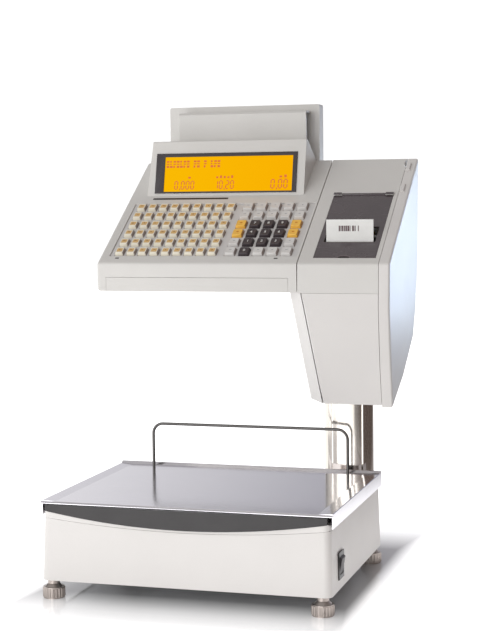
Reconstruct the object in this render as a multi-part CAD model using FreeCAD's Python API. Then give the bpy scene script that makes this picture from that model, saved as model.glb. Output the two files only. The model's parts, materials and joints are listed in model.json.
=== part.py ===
import FreeCAD, Part
import math
import os

os.makedirs("parts", exist_ok=True)
V = FreeCAD.Vector

# A shop scale that prints price labels: weighing base in front, column behind the pan,
# and on the column a head with keyboard, two displays and a label printer.
# Millimetres. X to the user's right, Y away from the user, Z up.
# The drawing has its origin on the floor under the middle of the base. The saved parts are
# moved so that the origin lies under the middle of the whole scale.

# ---- driving dimensions: base ----
base_width = 370.0
base_depth = 294.0
base_bottom = 23.0          # underside of the housing, above the floor
base_top = 101.8            # top edge of the lower housing at the sides
base_dip = 11.3             # how far its front edge dips in the middle
base_draft_x = 2.0          # how far each side wall leans in over its height
base_draft_y = 4.4
base_corner = 9.0
wall = 3.0
fit_gap = 0.3               # gap between neighbouring covers
seam_gap = 1.2              # visible groove between keyboard cover and printer cover

pan_half_width = 186.0
pan_half_depth = 142.0
pan_sheet = 1.2
pan_top = 121.0
pan_margin = 18.0           # sloping border beside the flat plate
pan_rim_rise = 1.0
pan_lip_rise = 3.4          # upturned rear edge
pan_skirt_bottom = 104.0

rail_x = 2.8                # the rail stands a little right of the pan's middle
rail_half_width = 139.0
rail_y = 133.0
rail_top = 181.8
rail_wire = 4.0
rail_bend = 14.0

foot_x = 172.5
foot_y = 136.5
foot_knob_radius = 14.0
foot_knob_height = 14.0

# ---- driving dimensions: column ----
column_x = 134.5
column_y = 175.0
column_half_width = 34.0    # the column is oval in plan
column_half_depth = 17.0
column_top = 440.0

# ---- driving dimensions: head ----
head_left = -175.5
head_seam = 100.0           # where the keyboard cover meets the printer cover
printer_right = 206.2
head_right = 221.0
key_front_y = 30.0          # front top edge of the keyboard slope
key_front_z = 408.7
key_rear_y = 234.0
key_rear_z = 544.1
head_front_bottom = 371.4
head_rear_bottom = 430.0
front_round = 5.0           # rounding between the slope and the front

preset_columns = 9
preset_pitch = 16.2
preset_first_x = -149.6
number_columns = 5
number_pitch = 19.05
number_first_x = 4.7
key_rows = 6
row_pitch = 20.7
first_row = 26.0            # distance of the nearest key row from the front edge, up the slope
key_travel = 2.5

cust_left = -140.0
cust_right = 81.0
cust_bottom = 520.0
cust_top = 622.5
cust_rear = 259.0
bezel_sheet = 1.4

# Middle of the whole scale in the drawing: feet on the left and in front, head and
# customer display on the right and behind.
middle_x = (head_right - foot_x - foot_knob_radius) / 2.0
middle_y = (cust_rear + bezel_sheet - foot_y - foot_knob_radius) / 2.0

slope_angle = math.degrees(math.atan2(key_rear_z - key_front_z, key_rear_y - key_front_y))
slope_length = math.hypot(key_rear_z - key_front_z, key_rear_y - key_front_y)


# ---- helpers ----
def box(x0, x1, y0, y1, z0, z1):
    return Part.makeBox(x1 - x0, y1 - y0, z1 - z0, V(x0, y0, z0))


def cylinder(radius, length, base, axis=(0, 0, 1)):
    return Part.makeCylinder(radius, length, V(*base), V(*axis))


def face_of(points):
    return Part.Face(Part.makePolygon([V(*p) for p in points + points[:1]]))


def prism_x(outline, x0, x1):
    """Solid between x0 and x1 from (y, z) points."""
    return face_of([(x0, y, z) for y, z in outline]).extrude(V(x1 - x0, 0, 0))


def prism_y(outline, y0, y1):
    """Solid between y0 and y1 from (x, z) points."""
    return face_of([(x, y0, z) for x, z in outline]).extrude(V(0, y1 - y0, 0))


def inset(outline, distance):
    """The outline moved inwards by a distance; its points run either way round."""
    area = sum(a[0] * b[1] - b[0] * a[1] for a, b in zip(outline, outline[1:] + outline[:1]))
    side = 1.0 if area > 0 else -1.0
    moved = []
    for before, here, after in zip(outline[-1:] + outline[:-1], outline, outline[1:] + outline[:1]):
        d1 = unit(here[0] - before[0], here[1] - before[1])
        d2 = unit(after[0] - here[0], after[1] - here[1])
        n1 = (-side * d1[1], side * d1[0])
        n2 = (-side * d2[1], side * d2[0])
        scale = distance / (1.0 + n1[0] * n2[0] + n1[1] * n2[1])
        moved.append((here[0] + (n1[0] + n2[0]) * scale, here[1] + (n1[1] + n2[1]) * scale))
    return moved


def unit(a, b):
    length = math.hypot(a, b)
    return a / length, b / length


def rounded_box(x0, x1, y0, y1, z0, z1, radius, shrink_x=0.0, shrink_y=0.0):
    """Upright box with round vertical corners; its top may be smaller on each side."""
    wires = []
    for z, sx, sy in ((z0, 0.0, 0.0), (z1, shrink_x, shrink_y)):
        flat = box(x0 + sx, x1 - sx, y0 + sy, y1 - sy, z, z + 1.0)
        upright = [e for e in flat.Edges if abs(e.Vertexes[0].Z - e.Vertexes[1].Z) > 0.5]
        rounded = flat.makeFillet(radius, upright)
        wires.append([f for f in rounded.Faces if abs(f.CenterOfMass.z - z) < 1e-6][0].OuterWire)
    return Part.makeLoft(wires, True, True)


def arc_band(half_width, z_side, z_middle, z_far, y0, y1):
    """Solid between a shallow arc, z_side at the ends and z_middle in the middle, and z_far."""
    arc = Part.Arc(V(-half_width, y0, z_side), V(0, y0, z_middle), V(half_width, y0, z_side)).toShape()
    rest = Part.makePolygon([V(half_width, y0, z_side), V(half_width, y0, z_far),
                             V(-half_width, y0, z_far), V(-half_width, y0, z_side)])
    return Part.Face(Part.Wire([arc] + rest.Edges)).extrude(V(0, y1 - y0, 0))


def column_oval(grow, z0, z1):
    """Upright solid with the column's oval plan, made larger all round by grow."""
    rim = Part.Ellipse(V(column_x, column_y, z0), column_half_width + grow, column_half_depth + grow)
    return Part.Face(Part.Wire([rim.toShape()])).extrude(V(0, 0, z1 - z0))


def on_slope(shape):
    """From flat: x as X, y up the keyboard slope from its front edge, z out of it."""
    shape.rotate(V(0, 0, 0), V(1, 0, 0), slope_angle)
    shape.translate(V(0, key_front_y, key_front_z))
    return shape


def join(first, *others):
    return first.multiFuse(list(others)).removeSplitter() if others else first


def save(name, shape):
    moved = shape.copy()
    moved.translate(V(-middle_x, -middle_y, 0.0))
    moved.exportStep("parts/" + name + ".step")


# ---- base ----
chassis_bottom = 24.0
chassis_top = 27.0
boss_top = 38.0
stud_radius = 4.0
cell_bottom = 45.0
cell_top = 85.0
cell_half_length = 75.0
carrier_top = 98.0
arm_x = 130.0
arm_y = 95.0
bracket_plate_top = 33.0
bracket_screws = [(114.0, 74.0), (148.0, 74.0), (114.0, 112.0), (148.0, 112.0)]
screw_radius = 3.0
screw_gap = 0.02

feet = {"fl": (-foot_x, -foot_y), "fr": (foot_x, -foot_y),
        "rl": (-foot_x, foot_y), "rr": (foot_x, foot_y)}

chassis = box(-181.0, 181.0, -143.0, 143.0, chassis_bottom, chassis_top)
chassis = chassis.makeFillet(5.0, [e for e in chassis.Edges
                                   if abs(e.Vertexes[0].Z - e.Vertexes[1].Z) > 1.0])
bosses = [cylinder(5.5, boss_top - chassis_bottom, (x, y, chassis_bottom)) for x, y in feet.values()]
cell_foot = box(-cell_half_length, -cell_half_length + 40.0, -20.0, 20.0, chassis_top - 1.0, cell_bottom)
chassis = join(chassis, cell_foot, *bosses)
stud_holes = [cylinder(stud_radius + 0.05, 30.0, (x, y, 20.0)) for x, y in feet.values()]
screw_holes = [cylinder(screw_radius + screw_gap, 10.0, (x, y, 20.0)) for x, y in bracket_screws]
save("chassis_plate", chassis.cut(Part.makeCompound(stud_holes + screw_holes)))

for corner, (x, y) in feet.items():
    knob = cylinder(foot_knob_radius - 0.8, foot_knob_height, (x, y, 0.0))
    ribs = []
    for i in range(20):
        angle = 2.0 * math.pi * i / 20
        reach = foot_knob_radius - 1.4
        ribs.append(cylinder(1.4, foot_knob_height - 3.0,
                             (x + reach * math.cos(angle), y + reach * math.sin(angle), 1.5)))
    flare = Part.makeCone(foot_knob_radius - 3.0, 7.5, 4.0, V(x, y, foot_knob_height), V(0, 0, 1))
    neck = cylinder(7.5, base_bottom - fit_gap - foot_knob_height, (x, y, foot_knob_height))
    stud = cylinder(stud_radius, boss_top + 4.0 - foot_knob_height, (x, y, foot_knob_height))
    save("foot_screw_" + corner, join(knob, flare, neck, stud, *ribs))

half_w = base_width / 2.0
half_d = base_depth / 2.0
lean = base_draft_x / (base_top - base_bottom)
switch_y = -96.0
switch_z = 52.0
inlet_x = -100.0
inlet_z = 52.0
rocker_radius = 12.6
rocker_x = 180.0

housing = rounded_box(-half_w, half_w, -half_d, half_d, base_bottom, base_top,
                      base_corner, base_draft_x, base_draft_y)
hollow = rounded_box(-half_w + wall, half_w - wall, -half_d + wall, half_d - wall, base_bottom, base_top,
                     base_corner - wall, base_draft_x, base_draft_y)
front_dip = arc_band(half_w + 1.0, base_top, base_top - base_dip, base_top + 20.0, -half_d - 1.0, -120.0)
switch_hole = box(170.0, 190.0, switch_y - 11.2, switch_y + 11.2, switch_z - 15.2, switch_z + 15.2)
inlet_hole = box(inlet_x - 14.2, inlet_x + 14.2, 130.0, 150.0, inlet_z - 11.2, inlet_z + 11.2)
bracket_hole = box(105.0, 162.0, 130.0, 150.0, base_bottom - 1.0, 50.5)
housing = housing.cut(Part.makeCompound([hollow, front_dip])).cut(switch_hole)
save("base_housing", housing.cut(inlet_hole).cut(bracket_hole))

# Upper cover: a plate under the pan, closed at the front by an apron between two arcs.
cover_bottom = base_top + fit_gap
cover_plate = 105.0
apron_half = 181.0
trim_side = 109.5
trim_middle = 94.0
cover_rim = rounded_box(-183.0, 183.0, -142.5, 142.5, cover_bottom, 108.0, base_corner)
cover_hollow = box(-180.0, 180.0, -139.5, 139.5, cover_bottom - 1.0, cover_plate)
apron = rounded_box(-183.0, 183.0, -142.8, 142.8, 80.0, 112.0, base_corner)
apron = apron.common(box(-apron_half, apron_half, -144.0, -138.9, 80.0, 112.0))
apron = apron.common(arc_band(half_w + 1.0, base_top + fit_gap, base_top - base_dip + fit_gap, 130.0,
                              -150.0, -130.0))
above_trim = arc_band(apron_half, trim_side - 0.2, trim_middle - 0.2, 130.0, -150.0, -129.0)
trim_recess = box(-apron_half, apron_half, -150.0, -138.9, cover_bottom - 1.0, 130.0)
cover = join(cover_rim.cut(cover_hollow).cut(trim_recess), apron.cut(above_trim),
             box(-apron_half, apron_half, -139.0, -136.0, 88.0, cover_plate + 0.5).common(
                 arc_band(half_w + 1.0, base_top + 1.0, base_top - base_dip + 1.0, 130.0, -150.0, -130.0)))
post_places = [(x, y) for x in (-arm_x, arm_x) for y in (-arm_y, arm_y)]
post_holes = [cylinder(12.0, 30.0, (x, y, 90.0)) for x, y in post_places]
save("base_cover", cover.cut(Part.makeCompound(post_holes)))

# Front trim: a dark crescent whose face bows forward in the middle.
trim_top = 117.8
bow = 3.5
bow_radius = (180.0 ** 2 + bow ** 2) / (2.0 * bow)
trim = arc_band(180.0, trim_side, trim_middle, trim_top, -147.0, -139.2)
trim_face = cylinder(bow_radius, 60.0, (0, -146.5 + bow_radius, 80.0))
save("front_trim", trim.common(trim_face))

# Load cell: a bar fixed at its left end, with the double hole that makes it bend.
cell = box(-cell_half_length, cell_half_length, -20.0, 20.0, cell_bottom, cell_top)
cell_middle = (cell_bottom + cell_top) / 2.0
cell_hole = join(cylinder(14.0, 40.0, (-18.0, -20.0, cell_middle), (0, 1, 0)),
                 cylinder(14.0, 40.0, (18.0, -20.0, cell_middle), (0, 1, 0)),
                 box(-18.0, 18.0, -20.0, 20.0, cell_middle - 4.0, cell_middle + 4.0))
save("load_cell", cell.cut(cell_hole))

# Pan carrier: hub on the free end of the cell, two cross bars and four posts.
post_top = 113.8
buffer_top = pan_top - pan_sheet
hub = box(35.0, 75.0, -20.0, 20.0, cell_top, carrier_top)
spine = box(-arm_x - 10.0, arm_x + 10.0, -15.0, 15.0, carrier_top - 7.0, carrier_top)
cross_bars = [box(x - 10.0, x + 10.0, -arm_y - 10.0, arm_y + 10.0, carrier_top - 7.0, carrier_top)
              for x in (-arm_x, arm_x)]
posts = [cylinder(8.0, post_top - carrier_top + 2.0, (x, y, carrier_top - 2.0)) for x, y in post_places]
save("pan_carrier", join(hub, spine, *cross_bars, *posts))
save("carrier_buffers", Part.makeCompound(
    [cylinder(7.5, buffer_top - post_top, (x, y, post_top)) for x, y in post_places]))

# Weighing pan: flat plate, sloping side borders with skirts, upturned rear lip, rolled front edge.
flat_half = pan_half_width - pan_margin
plate_bottom = pan_top - pan_sheet
rim_z = pan_top + pan_rim_rise
plate = box(-flat_half, flat_half, -138.5, 136.5, plate_bottom, pan_top)
side = prism_y([(flat_half - 0.5, plate_bottom), (flat_half - 0.5, pan_top), (flat_half, pan_top),
                (pan_half_width - 1.0, rim_z), (pan_half_width, rim_z - 0.6),
                (pan_half_width, pan_skirt_bottom), (pan_half_width - pan_sheet, pan_skirt_bottom),
                (pan_half_width - pan_sheet, rim_z - pan_sheet)], -138.5, pan_half_depth)
lip_z = pan_top + pan_lip_rise
lip = prism_x([(136.0, plate_bottom), (136.0, pan_top), (139.0, lip_z - 0.4), (140.2, lip_z),
               (pan_half_depth, lip_z - 0.5), (pan_half_depth, 109.5), (pan_half_depth - pan_sheet, 109.5),
               (pan_half_depth - pan_sheet, lip_z - 2.0), (137.2, plate_bottom)],
              -pan_half_width, pan_half_width)
roll = prism_x([(-138.0, plate_bottom), (-138.0, pan_top), (-139.8, pan_top), (-141.2, pan_top - 0.6),
                (-pan_half_depth, pan_top - 1.8), (-pan_half_depth, 118.4),
                (-pan_half_depth + pan_sheet, 118.4), (-pan_half_depth + pan_sheet, plate_bottom)],
               -pan_half_width, pan_half_width)
pan = join(plate, side, side.mirror(V(0, 0, 0), V(1, 0, 0)), lip, roll)
leg_holes = [cylinder(rail_wire / 2.0, 20.0, (rail_x + side * rail_half_width, rail_y, 115.0))
             for side in (-1, 1)]
save("pan", pan.cut(Part.makeCompound(leg_holes)))

# Guard rail: one bent wire whose legs go through the plate.
leg_bottom = 116.0
bar_z = rail_top - rail_wire / 2.0
leg_top = bar_z - rail_bend
arc_reach = rail_bend * (1.0 - math.sqrt(0.5))


def rail_point(side, in_from_leg, z):
    return V(rail_x + side * (rail_half_width - in_from_leg), rail_y, z)


def rail_arc(side):
    ends = [rail_point(side, 0.0, leg_top), rail_point(side, arc_reach, bar_z - arc_reach),
            rail_point(side, rail_bend, bar_z)]
    return Part.Arc(*(ends if side < 0 else ends[::-1])).toShape()


path = Part.Wire([
    Part.LineSegment(rail_point(-1, 0.0, leg_bottom), rail_point(-1, 0.0, leg_top)).toShape(),
    rail_arc(-1),
    Part.LineSegment(rail_point(-1, rail_bend, bar_z), rail_point(1, rail_bend, bar_z)).toShape(),
    rail_arc(1),
    Part.LineSegment(rail_point(1, 0.0, leg_top), rail_point(1, 0.0, leg_bottom)).toShape()])
section = Part.Wire(Part.makeCircle(rail_wire / 2.0, rail_point(-1, 0.0, leg_bottom), V(0, 0, 1)))
save("guard_rail", path.makePipeShell([section], True, False))

# Power switch: a frame through the right wall, and a rocker on two stub pins.
frame_face = 186.2
switch_body = box(162.0, 185.0, switch_y - 11.0, switch_y + 11.0, switch_z - 15.0, switch_z + 15.0)
flange = box(184.8, frame_face, switch_y - 12.5, switch_y + 12.5, switch_z - 16.5, switch_z + 16.5)
rocker_well = cylinder(rocker_radius + 0.3, 18.0, (rocker_x, switch_y - 9.0, switch_z), (0, 1, 0))
pin_well = cylinder(1.55, 21.0, (rocker_x, switch_y - 10.5, switch_z), (0, 1, 0))
save("rocker_frame", join(switch_body, flange).cut(rocker_well).cut(pin_well))
rocker = cylinder(rocker_radius, 17.4, (rocker_x, switch_y - 8.7, switch_z), (0, 1, 0))
rocker_front = prism_y([(rocker_x - 8.0, switch_z - 14.0), (frame_face - 1.2, switch_z - 14.0),
                        (frame_face + 1.0, switch_z), (frame_face + 3.6, switch_z + 14.0),
                        (rocker_x - 8.0, switch_z + 14.0)], switch_y - 10.0, switch_y + 10.0)
rocker_pin = cylinder(1.5, 20.4, (rocker_x, switch_y - 10.2, switch_z), (0, 1, 0))
save("power_rocker", join(rocker.common(rocker_front), rocker_pin))

inlet = join(box(inlet_x - 14.0, inlet_x + 14.0, 120.0, 146.5, inlet_z - 11.0, inlet_z + 11.0),
             box(inlet_x - 25.0, inlet_x + 25.0, 146.2, 148.4, inlet_z - 14.0, inlet_z + 14.0))
inlet = inlet.cut(box(inlet_x - 12.0, inlet_x + 12.0, 131.0, 150.0, inlet_z - 8.5, inlet_z + 8.5))
blades = [box(inlet_x + dx - 1.0, inlet_x + dx + 1.0, 129.0, 145.0, inlet_z + dz - 2.5, inlet_z + dz + 2.5)
          for dx, dz in ((-7.0, -2.0), (0.0, 3.0), (7.0, -2.0))]
save("mains_inlet", join(inlet, *blades))

# Power supply: board on four spacers, with transformer, heat sink and two capacitors.
supply_board = box(-168.0, -92.0, 4.0, 104.0, 33.0, 34.6)
spacers = [cylinder(3.5, 7.0, (x, y, chassis_top)) for x in (-162.0, -98.0) for y in (10.0, 98.0)]
transformer = box(-160.0, -126.0, 20.0, 60.0, 34.0, 62.0)
heat_sink = box(-104.0, -98.0, 20.0, 88.0, 34.0, 66.0)
capacitors = [cylinder(9.0, 26.0, (-142.0, y, 34.0)) for y in (74.0, 94.0)]
save("power_supply", join(supply_board, transformer, heat_sink, *spacers, *capacitors))

# ---- column ----
column_rear = column_y + column_half_depth
port_radius = 5.5
web = 1.5
groove_x = 20.9
groove_y = column_half_depth * math.sqrt(1.0 - (groove_x / column_half_width) ** 2)
screw_places = [(column_x + dx, column_y) for dx in (-24.0, -8.5, 8.5, 24.0)]

shell = column_oval(0.0, bracket_plate_top, column_top).cut(column_oval(-wall, 0.0, column_top + 1.0))
ports = [cylinder(port_radius, column_top - bracket_plate_top, (x, y, bracket_plate_top))
         for x, y in screw_places]
webs = [box(column_x - column_half_width + 1.0, column_x + column_half_width - 1.0,
            column_y - web, column_y + web, bracket_plate_top, column_top),
        box(column_x - web, column_x + web, column_y - column_half_depth + 1.0,
            column_rear - 1.0, bracket_plate_top, column_top)]
port_bores = [cylinder(screw_radius, column_top, (x, y, 0.0)) for x, y in screw_places]
grooves = [box(column_x + side_x * groove_x - 1.2, column_x + side_x * groove_x + 1.2,
               column_y + side_y * groove_y - 1.6, column_y + side_y * groove_y + 1.6, 0.0, column_top)
           for side_x in (-1, 1) for side_y in (-1, 1)]
save("column", join(shell, *webs, *ports).cut(Part.makeCompound(port_bores + grooves)))

bracket = box(98.0, 162.0, 60.0, 142.0, chassis_top, bracket_plate_top)
neck = box(106.0, 161.0, 138.0, column_y - 10.0, chassis_top, 50.0)
socket = column_oval(5.0, chassis_top, 78.0)
socket_bore = column_oval(0.02, bracket_plate_top, 80.0)
ribs = [box(x - 3.0, x + 3.0, 90.0, 140.0, bracket_plate_top - 1.0, 46.0) for x in (104.0, 158.0)]
bracket = join(bracket, neck, socket, *ribs).cut(socket_bore)
save("column_bracket", bracket.cut(Part.makeCompound(
    [cylinder(screw_radius + screw_gap, 20.0, (x, y, 20.0)) for x, y in bracket_screws])))

# ---- head frame, on top of the column ----
frame_top = column_top + 3.0
head_frame = join(box(-150.0, 99.0, 112.0, 222.0, column_top, frame_top),
                  box(98.0, 200.0, 96.0, 222.0, column_top, frame_top),
                  box(-150.0, 200.0, 219.0, 222.0, frame_top - 1.0, 460.0))
save("head_frame", head_frame.cut(Part.makeCompound(
    [cylinder(screw_radius + screw_gap, 20.0, (x, y, column_top - 5.0)) for x, y in screw_places])))
screw_seats = [(x, y, bracket_plate_top) for x, y in bracket_screws]
screw_seats += [(x, y, frame_top) for x, y in screw_places]
save("frame_screws", Part.makeCompound(
    [join(cylinder(screw_radius, 12.0, (x, y, z - 10.0)), cylinder(5.0, 5.0, (x, y, z)))
     for x, y, z in screw_seats]))

# ---- keyboard shells ----
# The side view of the head above its waist, a plane that rises from the front edge.
waist_slope = (head_rear_bottom - head_front_bottom) / (key_rear_y - key_front_y)


def waist(y):
    return head_front_bottom + (y - key_front_y) * waist_slope


def rounded_front(shape):
    """Rounds the edge where the keyboard slope meets the front."""
    edges = [e for e in shape.Edges if abs(e.CenterOfMass.y - key_front_y) < 0.01
             and abs(e.CenterOfMass.z - key_front_z) < 0.01]
    return shape.makeFillet(front_round, edges)


upper_outline = [(key_front_y, head_front_bottom), (key_front_y, key_front_z),
                 (key_rear_y, key_rear_z), (key_rear_y - 6.0, waist(key_rear_y - 6.0))]
floor_left = head_left + 13.0
floor_right = head_seam - 12.0
panel_left = -162.0
panel_right = 97.0
panel_front = 16.0
panel_back = 139.5
display_left = -150.5
display_right = 76.0
display_foot = 158.5        # front of the display on the slope
display_lean = 17.6         # how far its face leans back
display_height = 76.4

upper = prism_x(upper_outline, head_left, head_seam - seam_gap / 2.0)
upper = rounded_front(upper)
upper = upper.makeFillet(4.0, [e for e in upper.Edges if abs(e.CenterOfMass.x - head_left) < 0.01])
cavity = prism_x(inset(upper_outline, wall), head_left + wall, head_seam + 5.0)
panel_hole = on_slope(box(panel_left, panel_right, panel_front, panel_back, -10.0, 10.0))
display_hole = on_slope(box(display_left + 12.0, display_right - 12.0, display_foot + 14.0,
                            slope_length - 16.0, -10.0, 10.0))
floor_gap = prism_x([(key_front_y - 1.0, 360.0), (key_front_y - 1.0, 390.0), (key_front_y + 5.0, 390.0),
                     (key_front_y + 5.0, waist(key_front_y) + 5.0),
                     (key_rear_y - 9.4, waist(key_rear_y) + 2.4),
                     (key_rear_y - 9.4, 360.0)], floor_left, floor_right)
card_slot = on_slope(box(-139.0, -30.5, 150.2, 152.4, -10.0, 10.0))
pry_slots = [on_slope(box(x - 2.5, x + 2.5, 10.4, 12.4, -1.6, 5.0)) for x in (-149.6, 69.5)]
keyboard_top = upper.cut(cavity).cut(panel_hole).cut(display_hole).cut(floor_gap)
save("keyboard_top", keyboard_top.cut(Part.makeCompound([card_slot] + pry_slots)))

floor_front_top = 390.0 - fit_gap
floor_back = key_rear_y - 9.4 - fit_gap
floor = prism_x([(key_front_y, waist(key_front_y)), (key_front_y, floor_front_top),
                 (key_front_y + wall, floor_front_top),
                 (key_front_y + wall, waist(key_front_y + wall) + wall),
                 (floor_back, waist(floor_back) + wall), (floor_back, waist(floor_back))],
                floor_left + fit_gap, floor_right - fit_gap)
pillars = [cylinder(4.0, column_top - waist(y) - 1.0, (x, y, waist(y) + 1.0))
           for x in (-135.0, 60.0) for y in (130.0, 205.0)]
save("keyboard_base", join(floor, *pillars))

# ---- keys ----
panel_drop = 1.5
panel_sheet = 2.0
cap_rise = 3.0
flange_top = -panel_drop - panel_sheet - 0.1
flange_bottom = flange_top - 1.0
mat_top = flange_bottom - key_travel - 0.3
mat_sheet = 1.5
board_sheet = 1.6
hole_gap = 0.4
preset_cap = (12.4, 13.6)
number_cap = (14.6, 14.6)


def row_at(row):
    return first_row + row * row_pitch


def preset_places():
    return [(preset_first_x + column * preset_pitch, row_at(row))
            for row in range(key_rows) for column in range(preset_columns)]


def number_place(column, row):
    return number_first_x + column * number_pitch, row_at(row)


def rectangle(x, y, width, depth, z):
    corners = [V(x - width / 2.0, y - depth / 2.0, z), V(x + width / 2.0, y - depth / 2.0, z),
               V(x + width / 2.0, y + depth / 2.0, z), V(x - width / 2.0, y + depth / 2.0, z)]
    return Part.makePolygon(corners + corners[:1])


def key_cap(place, size):
    """One cap: tapered top, straight part in the panel's hole, flange under the panel."""
    (x, y), (width, depth) = place, size
    top = Part.makeLoft([rectangle(x, y, width, depth, -0.8),
                         rectangle(x, y, width - 1.8, depth - 1.8, cap_rise)], True, True)
    stem = box(x - width / 2.0, x + width / 2.0, y - depth / 2.0, y + depth / 2.0, flange_top - 0.2, -0.8)
    flange = box(x - width / 2.0 - 0.8, x + width / 2.0 + 0.8, y - depth / 2.0 - 0.8,
                 y + depth / 2.0 + 0.8, flange_bottom, flange_top)
    return on_slope(top.fuse(stem).fuse(flange).removeSplitter())


def key_hole(place, size):
    (x, y), (width, depth) = place, size
    return box(x - width / 2.0 - hole_gap, x + width / 2.0 + hole_gap,
               y - depth / 2.0 - hole_gap, y + depth / 2.0 + hole_gap, -20.0, 5.0)


digits = {"0": (1, 0)}
for digit in range(1, 10):
    digits[str(digit)] = (1 + (digit - 1) % 3, 1 + (digit - 1) // 3)
yellow = [(0, 2), (4, 2), (0, 3), (4, 3)]
taken = list(digits.values()) + yellow
function = [(column, row) for row in range(key_rows) for column in range(number_columns)
            if (column, row) not in taken]

for digit, (column, row) in digits.items():
    save("key_" + digit, key_cap(number_place(column, row), number_cap))
save("keys_yellow", Part.makeCompound([key_cap(number_place(*k), number_cap) for k in yellow]))
save("keys_function", Part.makeCompound([key_cap(number_place(*k), number_cap) for k in function]))
save("keys_preset", Part.makeCompound([key_cap(place, preset_cap) for place in preset_places()]))

panel = box(panel_left + 0.15, panel_right - 0.15, panel_front + 0.15, panel_back - 0.15,
            -panel_drop - panel_sheet, -panel_drop)
rim = box(panel_left - 3.0, panel_right - 0.15, panel_front - 3.0, panel_back + 3.0, -5.0, -wall)
rim = rim.cut(box(panel_left + 1.0, panel_right - 1.0, panel_front + 1.0, panel_back - 1.0, -6.0, 0.0))
holes = [key_hole(place, preset_cap) for place in preset_places()]
holes += [key_hole(number_place(column, row), number_cap)
          for column in range(number_columns) for row in range(key_rows)]
save("key_panel", on_slope(join(panel, rim).cut(Part.makeCompound(holes))))

sheet_area = (panel_left + 2.5, panel_right - 2.5, panel_front + 2.5, panel_back - 2.5)
save("key_mat", on_slope(box(*sheet_area, mat_top - mat_sheet, mat_top)))
key_board = box(*sheet_area, mat_top - mat_sheet - board_sheet, mat_top - mat_sheet)
chips = [box(x, x + 14.0, 60.0, 74.0, mat_top - mat_sheet - board_sheet - 2.5,
             mat_top - mat_sheet - board_sheet + 0.5) for x in (-120.0, -60.0, 20.0)]
save("key_board", on_slope(join(key_board, *chips)))

# Main board: sheet on four spacers, with a processor, a connector row and a memory block.
logic_board = box(-142.0, 40.0, 156.0, 214.0, 449.0, 450.6)
board_legs = [cylinder(3.0, 449.5 - frame_top, (x, y, frame_top))
              for x in (-136.0, 34.0) for y in (162.0, 208.0)]
processor = box(-120.0, -92.0, 170.0, 198.0, 450.0, 453.6)
connector_row = box(-70.0, -58.0, 165.0, 205.0, 450.0, 459.6)
memory = box(-30.0, 10.0, 180.0, 194.0, 450.0, 453.1)
save("main_board", join(logic_board, processor, connector_row, memory, *board_legs))

# ---- operator display ----
foot_y0 = key_front_y + display_foot * math.cos(math.radians(slope_angle))
foot_z0 = key_front_z + display_foot * math.sin(math.radians(slope_angle))
face_angle = math.degrees(math.atan2(display_height, display_lean))
face_length = math.hypot(display_height, display_lean)
top_y = foot_y0 + display_lean
top_z = foot_z0 + display_height


def on_display(shape):
    """From flat: x as X, y up the display's face from its foot, z out of it."""
    shape.rotate(V(0, 0, 0), V(1, 0, 0), face_angle)
    shape.translate(V(0, foot_y0, foot_z0))
    return shape


wedge_outline = [(foot_y0, foot_z0), (top_y, top_z), (top_y + 5.0, top_z),
                 (key_rear_y, key_rear_z)]
wedge = prism_x(wedge_outline, display_left, display_right)
wedge = wedge.makeFillet(2.0, [e for e in wedge.Edges if e.CenterOfMass.z > top_z - 0.01])
display_taper = 4.0         # how far the display's left side leans in towards its top
side_slant = prism_y([(display_left, foot_z0), (display_left + display_taper, top_z),
                      (display_left + display_taper, top_z + 5.0), (display_left - 5.0, top_z + 5.0),
                      (display_left - 5.0, foot_z0)], 150.0, key_rear_y + 5.0)
wedge = wedge.cut(side_slant)
wedge_cavity = prism_x(inset([(foot_y0 + 1.0, foot_z0 - 8.0), (top_y, top_z), (top_y + 5.0, top_z),
                              (key_rear_y - 3.0, key_rear_z - 10.0)], 2.5),
                       display_left + display_taper + 2.5, display_right - 2.5)
lcd_left, lcd_right, lcd_low, lcd_high = -126.4, 58.7, 5.5, 55.4
bezel_left, bezel_right, bezel_low, bezel_high = -139.5, 65.0, 3.6, 60.5
view_hole = box(lcd_left - 1.0, lcd_right + 1.0, lcd_low - 0.5, lcd_high + 1.0, -6.0, 6.0)
under_hood = box(-110.0, 50.0, 216.0, 227.0, 540.0, 580.0)
save("display_housing", wedge.cut(wedge_cavity).cut(on_display(view_hole)).cut(under_hood))

bezel = box(bezel_left, bezel_right, bezel_low, bezel_high, 0.0, bezel_sheet)
save("display_window", on_display(bezel.cut(box(lcd_left, lcd_right, lcd_low + 0.4, lcd_high, -1.0, 3.0))))
lcd = join(box(lcd_left - 0.5, lcd_right + 0.5, lcd_low, lcd_high + 0.5, -4.0, -0.2),
           box(lcd_left + 2.0, lcd_right - 2.0, lcd_low + 4.0, lcd_high, -8.0, -3.0))
save("display_lcd", on_display(lcd))

# Hood: the hollow shoulder between the two displays, with a concave front.
hood_left = -118.5
hood_right = 68.0
hood_top = 613.0
hood_front = 209.0
back_slope = (key_rear_z - top_z) / (key_rear_y - top_y - 5.0)


def wedge_back(y):
    return top_z + (y - top_y - 5.0) * back_slope


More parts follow.
